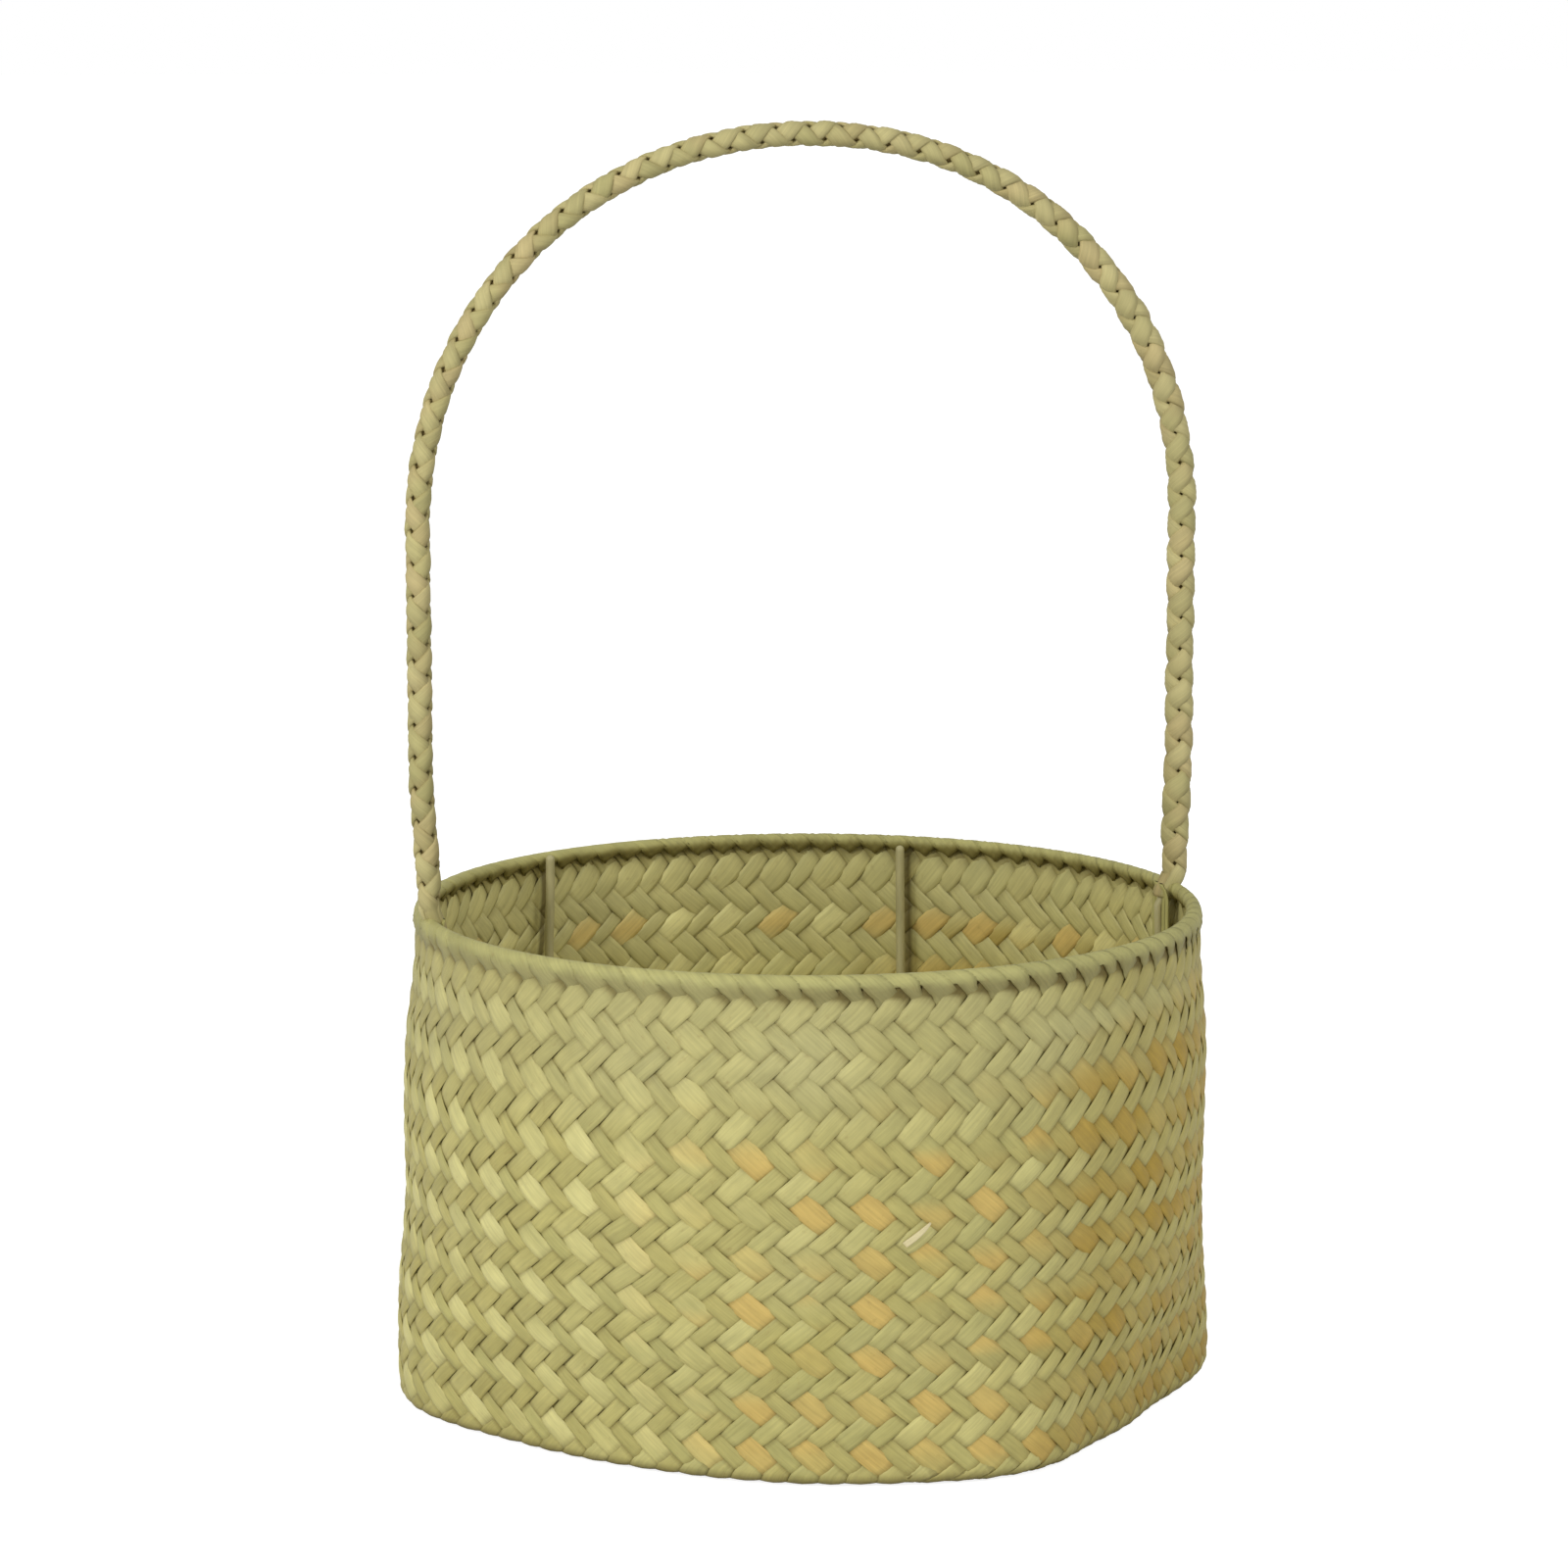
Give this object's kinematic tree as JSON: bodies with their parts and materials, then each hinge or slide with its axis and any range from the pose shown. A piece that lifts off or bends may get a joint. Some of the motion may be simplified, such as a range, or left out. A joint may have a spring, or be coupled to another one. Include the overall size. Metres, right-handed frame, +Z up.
{
  "type": "handled basket",
  "caption": "Round-mouthed plaited basket with a folded border over a wire hoop, wire stakes inside and one tall fixed arched braided handle.",
  "frame": {"origin": "middle of the underside, on the surface that the basket stands on", "axes": "+Z up; the handle stands in the XZ plane, its feet at -X and +X; the picture looks from 15 degrees to the left of -Y"},
  "size_m": [0.266, 0.2556, 0.4022],
  "materials": {
    "plaited_leaf": "dried leaf strips, satin, yellow-green straw colour with strip-to-strip variation",
    "border_leaf": "dried leaf strips, satin, a little paler and greener than the wall",
    "braided_leaf": "twisted dried leaf, matte with fine lengthwise grain",
    "wire": "drab grey-green coating, semi-matte"
  },
  "bodies": {
    "root": {"plaited_wall": "plaited_leaf", "plaited_floor": "plaited_leaf", "folded_border": "border_leaf", "rim_hoop": "wire", "base_hoop": "wire", "stake_back_right": "wire", "stake_back_left": "wire", "stake_front_left": "wire", "stake_front_right": "wire", "handle_wire": "wire", "handle_braid": "braided_leaf", "braid_tail_right_inner_a": "braided_leaf", "braid_tail_right_outer_a": "braided_leaf", "braid_tail_right_inner_b": "braided_leaf", "braid_tail_right_outer_b": "braided_leaf", "braid_tail_left_inner_a": "braided_leaf", "braid_tail_left_outer_a": "braided_leaf", "braid_tail_left_inner_b": "braided_leaf", "braid_tail_left_outer_b": "braided_leaf"}
  },
  "joints": []
}
